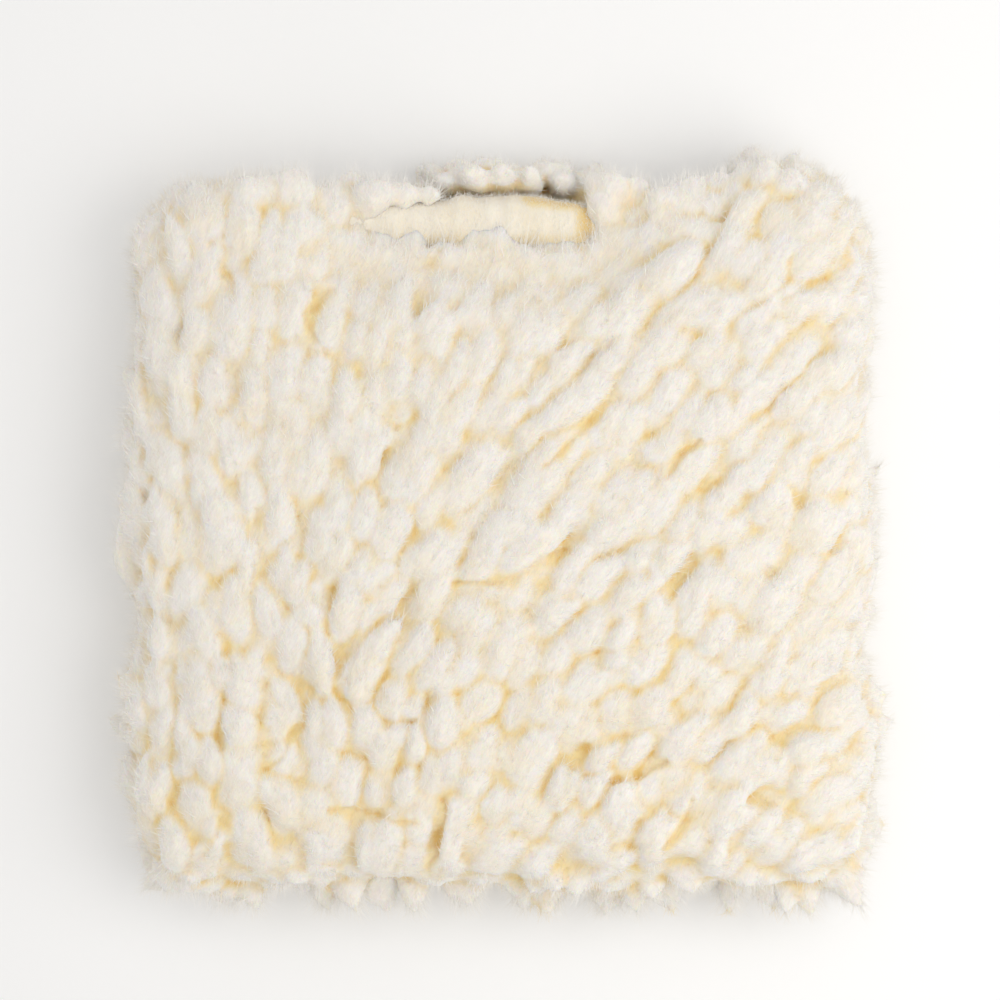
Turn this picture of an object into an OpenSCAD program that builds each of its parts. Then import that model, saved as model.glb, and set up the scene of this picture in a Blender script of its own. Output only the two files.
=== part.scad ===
/* [Mitt] */
// Width over the body of the wool, side to side
mitt_w = 236; // [216:1:256]
// Length over the body of the wool, closed end to shoulders
mitt_l = 228; // [212:1:248]
// Height of the sewn seam above the ground, with the wool under it pressed flat
seam_z = 23.5; // [20:0.5:25]

/* [Layers] */
// Depth of the wool standing on its backing
pile_t = 18.6; // [16:0.1:22]
// Thickness of the knitted backing that holds the wool
backing_t = 1.2; // [0.8:0.1:1.8]
// Thickness of the lining against the hand
lining_t = 0.8; // [0.5:0.1:1.2]
// Height of the hand pocket between the two linings
pocket_h = 11; // [9:0.5:14]

/* [Mouth] */
// Width of the hand opening, measured flat
mouth_w = 150; // [120:1:160]
// How far the lip stands out past the shoulders
neck_l = 6; // [4:1:10]
// Depth of the hem on the outside of the lip
hem_outer_d = 14; // [10:1:16]
// Depth of the hem on the inside of the lip
hem_inner_d = 8; // [7:1:9]
// Thickness of the hem's cloth
hem_t = 0.8; // [0.6:0.1:1.2]
// Width of the elastic that runs in the hem
elastic_w = 6; // [4:0.5:6]
// Thickness of the elastic
elastic_t = 1.4; // [1:0.1:1.6]
// Left end of the stretch of lip that the wool leaves bare
bare_lip_left = -40; // [-60:1:-20]
// Right end of the stretch of lip that the wool leaves bare
bare_lip_right = 28; // [10:1:50]
// Right end of the stretch of lip that the wool only partly covers
thin_lip_right = 79; // [60:1:85]

/* [Stitching] */
// Diameter of the thread
thread_d = 0.8; // [0.5:0.1:1]
// Distance from one stitch of the side seam to the next
seam_pitch = 6; // [5:0.5:10]
// Length of one stitch of the side seam, over the edges of both backings
seam_stitch_l = 3.6; // [3:0.1:4.5]
// Distance from one stitch of the hem to the next
hem_pitch = 5; // [4:0.5:8]
// Length of one stitch of the hem
hem_stitch_l = 3; // [2:0.1:3.5]

/* [Hidden] */
$fn = 64;

// Every layer is the same flat rectangle thickened by its own radius, so the layers nest evenly.
air = 0.2; // left between one layer and the next
r_pocket = pocket_h / 2;
r_lining = r_pocket + lining_t;
r_backing_in = r_lining + air;
r_backing = r_backing_in + backing_t;
r_pile_in = r_backing + air;
r_pile = r_pile_in + pile_t;

// The rectangle at the middle of the pocket, as half sizes
core_x = mitt_w / 2 - r_pile;
core_y = mitt_l / 2 - r_pile;
// Half the straight part of the mouth, between its two round ends
neck_x = mouth_w / 2 - r_pocket;
lip_y = core_y + r_backing + neck_l;
open_y = mitt_l; // past everything, for a cut that leaves the mitt through the mouth

// The hem folds around the lip and holds the layers and the elastic between its two legs.
r_hem = r_pile_in + hem_t;
r_hem_in = r_pocket - air - hem_t;
r_neck_cut = r_hem + thread_d + 2 * air;
edge_y = lip_y - hem_t - elastic_w - 2 * air; // where the backing and the lining end
r_elastic_mid = (r_pocket + r_backing) / 2;

// The wool ends short of the lip where it leaves it bare.
bare_y = lip_y - hem_outer_d;
thin_y = lip_y - hem_outer_d / 4;

// The side seam's thread lies just outside the edges of the backings.
r_seam = r_pile_in + thread_d / 2;
r_seam_cut = r_seam + thread_d / 2 + 2 * air;

// A rectangle of half sizes x and y with round corners of radius r outside it
module outline(x, y, r) {
    square([2 * x, 2 * (y + r)], center = true);
    square([2 * (x + r), 2 * y], center = true);
    for (sx = [-1, 1], sy = [-1, 1])
        translate([sx * x, sy * y])
            circle(r);
}

// The flat rectangle thickened by r all round, closed on every side
module pillow(r) {
    translate([0, 0, seam_z]) {
        cube([2 * core_x, 2 * core_y, 2 * r], center = true);
        for (s = [-1, 1]) {
            translate([s * core_x, 0, 0])
                rotate([90, 0, 0])
                    cylinder(r = r, h = 2 * core_y, center = true);
            translate([0, s * core_y, 0])
                rotate([0, 90, 0])
                    cylinder(r = r, h = 2 * core_x, center = true);
        }
        for (sx = [-1, 1], sy = [-1, 1])
            translate([sx * core_x, sy * core_y, 0])
                sphere(r);
    }
}

// The flat tube that leads from the pocket out through the mouth
module neck(r, y_from, y_to) {
    translate([0, y_to, seam_z])
        rotate([90, 0, 0])
            linear_extrude(y_to - y_from) {
                square([2 * neck_x, 2 * r], center = true);
                for (s = [-1, 1])
                    translate([s * neck_x, 0])
                        circle(r);
            }
}

// The pocket's shape at radius r, with its neck ending at y_end
module bag(r, y_end) {
    pillow(r);
    neck(r, 0, y_end);
}

// One layer of the bag between two radii, open at the mouth
module layer(r_in, r_out) {
    difference() {
        bag(r_out, edge_y);
        bag(r_in, open_y);
    }
}

// Keeps what lies above the seam
module front_half() {
    intersection() {
        children();
        translate([-mitt_w, -mitt_l, seam_z])
            cube([2 * mitt_w, 2 * mitt_l, 2 * r_pile]);
    }
}

// Keeps what lies below the seam and above the ground
module back_half() {
    intersection() {
        children();
        translate([-mitt_w, -mitt_l, 0])
            cube([2 * mitt_w, 2 * mitt_l, seam_z]);
    }
}

// The wool of both panels: the full outer form, less the bag, its hem and the side seam
module pile() {
    difference() {
        pillow(r_pile);
        bag(r_pile_in, open_y);
        neck(r_neck_cut, bare_y - air, open_y);
        translate([0, 0, seam_z])
            linear_extrude(seam_stitch_l + 2 * air, center = true)
                outline(core_x, core_y, r_seam_cut);
    }
}

// What is cut from the front wool to leave the lip in view
module lip_cut() {
    translate([bare_lip_left, bare_y, seam_z])
        cube([bare_lip_right - bare_lip_left, open_y, 2 * r_pile]);
    translate([bare_lip_right - air, thin_y, seam_z])
        cube([thin_lip_right - bare_lip_right, open_y, 2 * r_pile]);
}

module front_pile() {
    color("ivory")
        difference() {
            front_half() pile();
            lip_cut();
        }
}

module back_pile() {
    color("ivory")
        back_half() pile();
}

module front_backing() {
    color("wheat")
        front_half() layer(r_backing_in, r_backing);
}

module back_backing() {
    color("wheat")
        back_half() layer(r_backing_in, r_backing);
}

module front_lining() {
    color("linen")
        front_half() layer(r_pocket, r_lining);
}

module back_lining() {
    color("linen")
        back_half() layer(r_pocket, r_lining);
}

// The folded band around the mouth: an outer leg, an inner leg and the fold at the lip
module hem() {
    difference() {
        neck(r_hem, lip_y - hem_outer_d, lip_y);
        neck(r_pile_in, 0, lip_y - hem_t);
        pillow(r_pile_in);
        neck(r_hem_in, 0, open_y);
    }
    difference() {
        neck(r_pocket - air, lip_y - hem_inner_d, lip_y);
        neck(r_hem_in, 0, open_y);
    }
}

module front_mouth_hem() {
    color("cornsilk")
        front_half() hem();
}

module back_mouth_hem() {
    color("cornsilk")
        back_half() hem();
}

module mouth_elastic() {
    color("white")
        difference() {
            neck(r_elastic_mid + elastic_t / 2, edge_y + air, edge_y + air + elastic_w);
            neck(r_elastic_mid - elastic_t / 2, 0, open_y);
        }
}

// Evenly spaced places, about one pitch apart, along a line from one value to the other
function spaced(from, to, pitch) =
    let (n = max(1, round((to - from) / pitch)))
    [for (i = [0:n]) from + (to - from) * i / n];

// Where the side seam's stitches stand: both sides, the closed end, the corners and the shoulders
shoulder_x = neck_x + r_neck_cut + thread_d;
corner_angles = [30, 60];
seam_places = concat(
    [for (s = [-1, 1], y = spaced(-core_y, core_y, seam_pitch)) [s * (core_x + r_seam), y]],
    [for (x = spaced(-core_x, core_x, seam_pitch)) [x, -core_y - r_seam]],
    [for (s = [-1, 1], x = spaced(shoulder_x, core_x, seam_pitch)) [s * x, core_y + r_seam]],
    [for (sx = [-1, 1], sy = [-1, 1], a = corner_angles)
        [sx * (core_x + r_seam * cos(a)), sy * (core_y + r_seam * sin(a))]]
);

module side_seam_stitches() {
    color("beige")
        for (place = seam_places)
            translate([place.x, place.y, seam_z])
                cylinder(d = thread_d, h = seam_stitch_l, center = true);
}

module hem_stitches() {
    color("beige")
        for (side = [-1, 1], x = spaced(-neck_x, neck_x, hem_pitch))
            translate([x, bare_y + thread_d, seam_z + side * (r_hem + air / 2 + thread_d / 2)])
                rotate([0, 90, 0])
                    cylinder(d = thread_d, h = hem_stitch_l, center = true);
}

front_pile();
back_pile();
front_backing();
back_backing();
front_lining();
back_lining();
front_mouth_hem();
back_mouth_hem();
mouth_elastic();
side_seam_stitches();
hem_stitches();
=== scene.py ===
"""Looks of a wool wash mitt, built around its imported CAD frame. Metres, +Z up, +Y towards the mouth."""
import math

import bpy
import numpy as np
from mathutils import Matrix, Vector
from mathutils.kdtree import KDTree


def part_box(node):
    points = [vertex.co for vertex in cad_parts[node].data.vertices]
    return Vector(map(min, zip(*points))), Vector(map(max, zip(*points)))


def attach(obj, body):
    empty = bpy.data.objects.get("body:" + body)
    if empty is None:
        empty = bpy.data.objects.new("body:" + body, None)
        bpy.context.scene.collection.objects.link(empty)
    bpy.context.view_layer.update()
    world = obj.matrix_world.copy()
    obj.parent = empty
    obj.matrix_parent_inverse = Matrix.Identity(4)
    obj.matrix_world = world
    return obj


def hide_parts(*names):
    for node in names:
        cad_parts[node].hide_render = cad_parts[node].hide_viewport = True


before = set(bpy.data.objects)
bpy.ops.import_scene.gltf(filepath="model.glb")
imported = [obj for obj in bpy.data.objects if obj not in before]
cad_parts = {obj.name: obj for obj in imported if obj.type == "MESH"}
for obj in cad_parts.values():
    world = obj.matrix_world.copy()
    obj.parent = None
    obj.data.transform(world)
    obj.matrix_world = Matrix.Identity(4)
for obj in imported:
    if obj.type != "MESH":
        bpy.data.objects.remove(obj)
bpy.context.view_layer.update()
MM = 0.001

# ---------------- sizes, from the frame
# The CAD layers are one flat rectangle, CORE in half sizes, thickened by a radius for each layer.
FRONT_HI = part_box("front_pile")[1]
SEAM_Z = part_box("front_pile")[0].z
FLOOR_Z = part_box("back_pile")[0].z
HEM_LO, HEM_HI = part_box("front_mouth_hem")
R_PILE = FRONT_HI.z - SEAM_Z
R_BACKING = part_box("front_backing")[1].z - SEAM_Z
R_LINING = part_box("front_lining")[1].z - SEAM_Z
R_HEM = HEM_HI.z - SEAM_Z
CORE = np.array([FRONT_HI.x - R_PILE, FRONT_HI.y - R_PILE])
LIP_Y = HEM_HI.y
HEM_Y = HEM_LO.y
MOUTH_X = HEM_HI.x
NECK_X = MOUTH_X - R_HEM
FRONT, BACK = 1, -1
SQUARE = np.array([(-1, -1), (1, -1), (1, 1), (-1, 1)])

# ---------------- how the wool lies
BED_R = R_PILE - 7.0 * MM  # top of the dense wool under the locks
BED_DIP = 0.5  # share of the locks' dip towards the bare lip that the bed follows
LOCK_PITCH = np.array([7.4, 14.0]) * MM
LAYERS = ((0, 0.0), (50, 2.6 * MM))  # seed step and depth below the top of each layer of locks
LOCK_LEN, LOCK_HALF_WIDTH = 30 * MM, 4.8 * MM
LOCK_DEPTH = 0.74  # a lock's depth as a share of its width
GRID_TURN = math.radians(-27)  # the locks' rows run with the main lean of the wool
RINGS, SIDES = 13, 12  # rings along a lock, and points round each
RIM_PLAN = 25 * MM  # plan distance that the half-round rim takes up
FACE_REACH = 0.85 * RIM_PLAN  # how far over the rim the locks of the faces go
RIM_IN, RIM_WAVE = 1.0 * MM, 3.8 * MM  # how far in the outline lies, and how far it wanders in and out
CLOSED_END_SHORT = 2.5 * MM  # how far the closed end's outline lies inside the others
RIGHT_SHOULDER_RISE = 4.0 * MM  # the wool stands further out past the mouth's right end
RIM_PITCH = 8.5 * MM  # distance between the locks round the rim
CORNER_SHARES = (0.2, 0.5, 0.8)  # where in a corner's quarter turn its locks stand
RIM_ROWS = ((0.06, 0.3), (0.26, 0.45), (0.48, 0.8))  # each row's height, and how far it follows the flow
BARE_LEFT, BARE_RIGHT = -40 * MM, 28 * MM  # ends of the stretch of lip without wool
LIP_DIP, LIP_SLOPE = 13 * MM, 28 * MM  # how far the wool sinks towards the bare lip, and over what distance
VOXEL = {FRONT: 0.88 * MM, BACK: 1.15 * MM}  # fineness of the skin over the locks
PIT_DEPTH = np.array((2.2, 4.0)) * MM  # pits between these depths are filled more and more
# How far the tips lean to +X: over most of the width, more by the closed end's right corner, and by chance
MAIN_LEAN, CORNER_LEAN, BROAD_WANDER, FINE_WANDER = np.radians((36, 16, 14, 8))
# Each panel has a seed, and each part adds its own number to it, so no two parts share their random
# draws. These two belong to shapes that are the same wherever they are asked for.
RIM_SEED, PARTING_SEED = 5, 300

# Tufts that curl over the lip's edge, at the ends of its bare stretch: x and y of the
# root, length, half width
LIP_TUFTS = MM * np.array((
    (-38, 96, 12, 5.6), (-30, 96, 12, 5.2), (-22, 98, 9, 4.4),
    (28, 98, 14, 4.8), (34, 99, 14, 4.6), (31, 93, 12, 5.0), (41, 98, 11, 4.5),
    (49, 97, 12, 4.8), (57, 96, 13, 4.6), (65, 97, 14, 5.0), (73, 95, 16, 5.0), (79, 97, 16, 4.6),
))
# The tuft of back wool that curls up past the lip's bare stretch, and its round locks: x, and how far
# each leans out from the mouth
TUFT_X, TUFT_REACH = 3 * MM, 28 * MM
KNOBS = MM * np.array(((-16, 4), (-7, 7), (1, 8), (9.5, 7.5), (20.5, 5)))
# The deepest partings of the front wool, each between two plan places
PARTINGS = MM * np.array((
    ((-13, -15), (3, -14)), ((3, -14), (19, -5)), ((14, 20), (34, 42)), ((49, 18), (59, 28)),
    ((34, -74), (50, -69)), ((-17, -80), (-21, -103)), ((-52, 54), (-58, 65)), ((-58, 65), (-51, 73)),
    ((-69, -70), (-61, -58)), ((-73, 3), (-72, 8)), ((-51, -83), (-25, -86)), ((-88, -96), (-82, -87)),
    ((-105, -16), (-104, -9)), ((50, -95), (58, -80)), ((-21, 83), (-17, 90)),
))
# The front wool's fullest tufts: x, y and reach
TUFTS = MM * np.array(((5, -1, 13), (-84, 5, 8)))


# ---------------- small helpers
def smoothstep(x, low, high):
    t = np.clip((x - low) / (high - low), 0.0, 1.0)
    return t * t * (3 - 2 * t)


def unit(v):
    return v / np.maximum(np.linalg.norm(v, axis=-1, keepdims=True), 1e-12)


def noise(points, size, seed):
    """Smooth noise from -1 to 1 at points (n, 2 or 3), with features about size across."""
    dims = points.shape[1]
    side = 64 if dims == 2 else 32  # the pattern repeats after this many features
    lattice = np.random.default_rng(seed).uniform(-1, 1, (side,) * dims)
    past_zero = 1000.0  # keeps every place positive
    scaled = points / size + past_zero
    cell = np.floor(scaled).astype(int)
    t = scaled - cell
    t = t * t * (3 - 2 * t)
    total = np.zeros(len(points))
    for corner in np.ndindex((2,) * dims):
        index = tuple((cell[:, k] + corner[k]) % side for k in range(dims))
        weight = np.ones(len(points))
        for k in range(dims):
            weight *= t[:, k] if corner[k] else 1 - t[:, k]
        total += lattice[index] * weight
    return total


def in_scene(name, data):
    """A new object in the scene, with data as its mesh, camera or light."""
    obj = bpy.data.objects.new(name, data)
    bpy.context.scene.collection.objects.link(obj)
    return obj


def mesh_object(name, points, faces):
    mesh = bpy.data.meshes.new(name)
    mesh.from_pydata(points.tolist(), [], faces)
    mesh.update()
    return in_scene(name, mesh)


def read(items, name, width, kind):
    """A named property of all of a mesh's vertices or edges, one row each."""
    values = np.empty(len(items) * width, kind)
    items.foreach_get(name, values)
    return values.reshape(-1, width)


def get_points(mesh):
    return read(mesh.vertices, "co", 3, np.float32).astype(float)


def get_normals(mesh):
    return read(mesh.vertices, "normal", 3, np.float32).astype(float)


def set_points(mesh, points):
    mesh.vertices.foreach_set("co", points.astype(np.float32).ravel())
    mesh.update()


def set_attribute(mesh, name, values):
    attribute = mesh.attributes.new(name, "FLOAT", "POINT")
    attribute.data.foreach_set("value", values.astype(np.float32))


def smoothed(values, edges, rounds, share=0.5):
    """values (n, k) after rounds of moving each point's part of the way to its neighbours' mean."""
    count = np.maximum(np.bincount(edges.ravel(), minlength=len(values)), 1)[:, None]
    for _ in range(rounds):
        total = np.empty_like(values)
        for k in range(values.shape[1]):
            total[:, k] = np.bincount(edges[:, 0], values[edges[:, 1], k], len(values))
            total[:, k] += np.bincount(edges[:, 1], values[edges[:, 0], k], len(values))
        values = values + share * (total / count - values)
    return values


# ---------------- the surface that the wool grows on
def on_layer(plan, radius, side):
    """Points at radius over plan points (n, 2), and the outward normals there."""
    middle = np.clip(plan, -CORE, CORE)
    over = plan - middle
    reach = np.linalg.norm(over, axis=1)
    outward = over / np.maximum(reach, 1e-9)[:, None]
    angle = np.minimum(reach / RIM_PLAN, 1.0) * math.pi / 2
    normal = np.column_stack((outward * np.sin(angle)[:, None], side * np.cos(angle)))
    points = np.column_stack((middle, np.full(len(plan), SEAM_Z))) + radius[:, None] * normal
    return points, normal


def flow(plan, seed):
    """Unit plan directions of the locks' tips: towards the mouth, leaning more to +X further right."""
    x, y = plan[:, 0], plan[:, 1]
    lean = MAIN_LEAN * smoothstep(x, -95 * MM, 20 * MM)
    lean += CORNER_LEAN * smoothstep(x, 20 * MM, 110 * MM) * smoothstep(-y, -10 * MM, 90 * MM)
    lean += BROAD_WANDER * noise(plan, 34 * MM, seed)
    lean += FINE_WANDER * noise(plan, 9 * MM, seed + 1)
    return np.column_stack((np.sin(lean), np.cos(lean)))


def from_bare_lip(plan):
    """Plan distance to the stretch where the lip is bare."""
    aside = np.maximum(np.maximum(BARE_LEFT - plan[:, 0], plan[:, 0] - BARE_RIGHT), 0)
    return np.hypot(aside, np.maximum(HEM_Y - plan[:, 1], 0))


def lip_dip(plan, side):
    """How far the front wool sinks towards the bare lip."""
    return LIP_DIP * (1 - smoothstep(from_bare_lip(plan), 0, LIP_SLOPE)) * (side == FRONT)


def rim_change(plan):
    """How much further out or in than its layer the wool stands at the rim outward of plan places."""
    middle = np.clip(plan, -CORE, CORE)
    outward = unit(plan - middle)
    rim = middle + RIM_PLAN * outward
    wave = noise(rim, 32 * MM, RIM_SEED) + 0.6 * noise(rim, 13 * MM, RIM_SEED + 1)
    return RIM_WAVE * wave - RIM_IN - CLOSED_END_SHORT * np.maximum(-outward[:, 1], 0)


# ---------------- locks
# A set of locks is a dict: lines (n, rings, 3), normals (n, rings, 3), width (n,), pointed (n,).
def jittered_grid(low, high, pitch, rng, loose=0.42):
    """Staggered rows of plan places in a rectangle, each a little off its own place."""
    columns, rows = np.maximum(((high - low) / pitch).astype(int), 1)
    row, column = np.divmod(np.arange(rows * columns), columns)
    share = np.column_stack(((column + 0.25 + 0.5 * (row % 2)) / columns, (row + 0.5) / rows))
    return low + share * (high - low) + rng.uniform(-loose, loose, (len(row), 2)) * pitch


def field_locks(side, seed, sink):
    """Spindle-shaped locks side by side, each tip lying on the foot of the next one towards the mouth."""
    rng = np.random.default_rng(seed)
    half = np.full(2, 1.5 * CORE.max())  # past the panel at every turn of the grid
    grid = jittered_grid(-half, half, LOCK_PITCH, rng, loose=0.3)
    cos, sin = math.cos(GRID_TURN), math.sin(GRID_TURN)
    plan = grid @ np.array([[cos, sin], [-sin, cos]])
    over = np.linalg.norm(plan - np.clip(plan, -CORE, CORE), axis=1)
    plan, over = plan[over < FACE_REACH], over[over < FACE_REACH]
    n = len(plan)
    # Sizes differ by chance and in patches; towards the closed end the locks are shorter and thicker
    clumped = smoothstep(-plan[:, 1], 5 * MM, 70 * MM)
    size = np.clip(np.exp(rng.normal(0, 0.2, n) + 0.12 * noise(plan, 32 * MM, 7 + seed)), 0.6, 1.6)
    length = LOCK_LEN * size ** 0.7 * rng.uniform(0.85, 1.2, n) * (1 - 0.2 * clumped)
    width = LOCK_HALF_WIDTH * size * (1 + 0.08 * clumped)
    bend = rng.uniform(-3.5, 3.5, n) * MM
    direction = flow(plan, 40 + seed)
    top = R_PILE - sink - LOCK_DEPTH * width - rng.uniform(0.8, 2.0 + 1.4 * clumped, n) * MM
    top += rim_change(plan) * smoothstep(over, 0.3 * RIM_PLAN, FACE_REACH)
    tips = plan + 0.5 * length[:, None] * direction
    keep = ~no_wool(plan, side, 0) & ~no_wool(tips, side, 9 * MM)
    plan, length, width, bend, direction, top = (
        values[keep] for values in (plan, length, width, bend, direction, top)
    )
    n = len(plan)
    # Each lock's middle line: a slight bow in plan, its foot under its neighbours, its tip bent down
    t = np.linspace(0, 1, RINGS)
    across = np.column_stack((-direction[:, 1], direction[:, 0]))
    line = plan[:, None, :] + ((t[None, :] - 0.5) * length[:, None])[..., None] * direction[:, None, :]
    line = line + (bend[:, None] * np.sin(math.pi * t) ** 2)[..., None] * across[:, None, :]
    foot_dip = 4.5 * MM * (1 - smoothstep(t, 0, 0.5))[None, :]
    tip_dip = rng.uniform(0.3, 2.2, (n, 1)) * MM * smoothstep(t, 0.6, 1.0)
    radius = top[:, None] - foot_dip - tip_dip
    line = line.reshape(-1, 2)
    points, normals = on_layer(line, radius.ravel() - lip_dip(line, side), side)
    return {
        "lines": points.reshape(n, RINGS, 3),
        "normals": normals.reshape(n, RINGS, 3),
        "width": width,
        "pointed": rng.uniform(0.25, 0.75, n),
    }


def no_wool(plan, side, spare):
    """Whether plan places, give or take spare past the rim, are where the panel leaves the mouth free."""
    x, y = plan[:, 0], plan[:, 1]
    edge = CORE[1] + (9 * MM if side == FRONT else 5 * MM) + spare
    free = (np.abs(x) < MOUTH_X + 2 * MM) & (y > edge)
    if side == FRONT:
        free |= (x > BARE_LEFT) & (x < BARE_RIGHT) & (y > HEM_Y + 1.5 * MM)
        free |= (x >= BARE_RIGHT) & (x < MOUTH_X) & (y > HEM_Y + 9 * MM)
    return free


def rim_places():
    """Places round the core's outline, from its closed left corner on, and the outward directions there."""
    lengths = 2 * CORE[[0, 1, 0, 1]]
    starts = CORE * SQUARE
    runs = np.array([(1, 0), (0, 1), (-1, 0), (0, -1)])
    outs = np.column_stack((runs[:, 1], -runs[:, 0]))
    middles, outwards = [], []
    for k in range(4):
        steps = int(lengths[k] / RIM_PITCH)
        along = (np.arange(steps) + 0.5) / steps * lengths[k]
        middles.append(starts[k] + along[:, None] * runs[k])
        outwards.append(np.tile(outs[k], (steps, 1)))
        for share in CORNER_SHARES:
            turn = share * math.pi / 2
            middles.append([starts[k] + lengths[k] * runs[k]])
            outwards.append([outs[k] * math.cos(turn) + outs[(k + 1) % 4] * math.sin(turn)])
    return np.vstack(middles), np.vstack(outwards)


def rim_locks(side, seed):
    """Locks that stand out round the rim: round ones at the mouth's end, ragged ones at the closed end."""
    rng = np.random.default_rng(seed)
    middle, outward = rim_places()
    n = len(middle)
    crossway = np.column_stack((-outward[:, 1], outward[:, 0]))
    rows = []
    for height, lie in RIM_ROWS:
        angle = (1 - height) * math.pi / 2 + rng.uniform(-0.16, 0.16, n)
        slide = rng.uniform(-4.5, 4.5, (n, 1)) * MM
        rows.append((middle + slide * crossway, outward, angle, np.full(n, lie)))
    middle, outward, angle, lie = (np.concatenate(parts) for parts in zip(*rows))
    at_mouth = (np.abs(middle[:, 0]) < NECK_X + 4 * MM) & (outward[:, 1] > 0.5)
    middle, outward, angle, lie = (values[~at_mouth] for values in (middle, outward, angle, lie))
    n = len(middle)
    normal = np.column_stack((outward * np.sin(angle)[:, None], side * np.cos(angle)))
    origin = np.column_stack((middle, np.full(n, SEAM_Z)))
    lean = np.column_stack((flow(middle, 60 + seed), np.zeros(n)))
    closed_end = smoothstep(-outward[:, 1], 0.2, 0.7)
    lie = lie * (1 - closed_end)
    aim = unit(normal + lie[:, None] * lean + rng.uniform(-0.28, 0.28, (n, 3)) + (0, 0, 0.1 * side))
    low_sides = smoothstep(-middle[:, 1], 0.0, CORE[1]) * (1 - closed_end)
    ragged = rng.uniform(size=n) < 0.5 * closed_end + 0.3 * low_sides
    pointed = np.where(ragged, rng.uniform(0.8, 0.95, n), rng.uniform(0.25, 0.6, n))
    start = origin + (R_BACKING + 5.5 * MM) * normal
    size = rng.uniform(0.7, 1.25, n)
    # How far each stands out: by chance, with the outline's wave, less at the mouth's corners, and most
    # where it is ragged and near the seam
    corner = np.minimum(np.abs(outward[:, 0]), np.abs(outward[:, 1])) / 0.7
    by_seam = np.where(angle > 1.3, 1.0, 0.4)
    span = (R_PILE - R_BACKING - 6.5 * MM) * rng.uniform(0.8, 1.06, n)
    span += rim_change(middle + RIM_PLAN * outward)
    mouth_corner = np.where(middle[:, 0] > 0, -5.0, -1.0)
    span += np.where(middle[:, 1] > 0, mouth_corner, 2.5) * MM * corner
    span += RIGHT_SHOULDER_RISE * (middle[:, 0] > NECK_X) * (outward[:, 1] > 0.9)
    span += np.where(ragged, 10 * MM * by_seam * (0.5 + 0.5 * closed_end), 0)
    t = np.linspace(0, 1, RINGS)
    curl = rng.uniform(-2.5, 2.5, (n, 1)) * MM * (t[None, :] ** 2)
    crossway = unit(np.cross(aim, normal) + 1e-6)
    lines = start[:, None, :] + (t[None, :] * span[:, None])[..., None] * aim[:, None, :]
    lines = lines + curl[..., None] * crossway[:, None, :]
    up = np.column_stack((np.zeros((n, 2)), np.full(n, float(side))))
    top = unit(up - aim * (side * aim[:, 2])[:, None])
    return {
        "lines": lines,
        "normals": np.repeat(top[:, None, :], RINGS, axis=1),
        "width": 5.6 * MM * size * (1 + 0.25 * pointed),
        "pointed": pointed,
    }


def places(x, y, z):
    """Rows of x, y and z, where each of the three is one number or one number a row."""
    return np.column_stack(np.broadcast_arrays(x, y, z))


def straight_locks(roots, aim, length, width, side, rng, droop=0.0, loose=1.0):
    """Locks from given roots along one direction, a little different from each other."""
    n = len(roots)
    roots = roots + loose * rng.uniform(-1, 1, (n, 3)) * MM
    aims = unit(np.array(aim) + loose * rng.uniform(-0.16, 0.16, (n, 3)))
    t = np.linspace(0, 1, RINGS)
    span = length * rng.uniform(0.85, 1.15, (n, 1))
    lines = roots[:, None, :] + (t[None, :] * span)[..., None] * aims[:, None, :]
    lines[:, :, 2] -= droop * t ** 2
    up = np.zeros((n, RINGS, 3))
    up[..., 2] = side
    return {
        "lines": lines,
        "normals": up,
        "width": width * rng.uniform(0.8, 1.2, n),
        "pointed": np.zeros(n),
    }


def lip_cover_locks(rng):
    """Front locks over both covered ends of the lip, a low fringe along its wool, and the placed tufts."""
    on_hem = SEAM_Z + R_HEM
    low_y = HEM_Y - 6 * MM
    # Each patch: its ends in x, its end in y, and its locks' half width, length and rise along the lip
    patches = (
        (-MOUTH_X - 2 * MM, BARE_LEFT + 1 * MM, HEM_Y + 10 * MM, 6.0 * MM, 15 * MM, 9 * MM),
        (BARE_RIGHT + 3 * MM, MOUTH_X + 4 * MM, HEM_Y + 9 * MM, 5.4 * MM, 14 * MM, 7 * MM),
    )
    sets = []
    for left, right, high_y, width, length, lift in patches:
        corners = np.array([(left, low_y), (right, high_y)])
        plan = jittered_grid(*corners, np.full(2, 5.2 * MM), rng)
        far = smoothstep(from_bare_lip(plan), 0, LIP_SLOPE)
        height = on_hem - 1.5 * MM + rng.uniform(-1, 1, len(plan)) * MM + lift * far
        roots = np.column_stack((plan, height))
        sets.append(straight_locks(roots, (0.15, 1.0, 0.0), length, width, FRONT, rng, droop=2.5 * MM))
    roots = places(np.arange(BARE_LEFT - 2 * MM, MOUTH_X, 5.6 * MM), HEM_Y - 8 * MM, on_hem + 1 * MM)
    roots += rng.uniform(-1, 1, roots.shape) * (1.5, 3.5, 1.0) * MM
    sets.append(straight_locks(roots, (0.15, 1.0, -0.1), 12 * MM, 4.6 * MM, FRONT, rng, droop=1 * MM))
    for x, y, length, width in LIP_TUFTS:
        root = places(x, y, on_hem + 0.5 * MM)
        sets.append(straight_locks(root, (0.1, 1.0, 0.12), length, width, FRONT, rng))
    return merged(sets)


def lower_at_ends(locks, x):
    """The tuft's locks, drawn down towards the tuft's two ends."""
    low = locks["lines"][:, :1, 2]
    share = 1 - 0.55 * smoothstep(np.abs(x - TUFT_X), 0.45 * TUFT_REACH, TUFT_REACH)
    locks["lines"][:, :, 2] = low + (locks["lines"][:, :, 2] - low) * share[:, None]
    return locks


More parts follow.
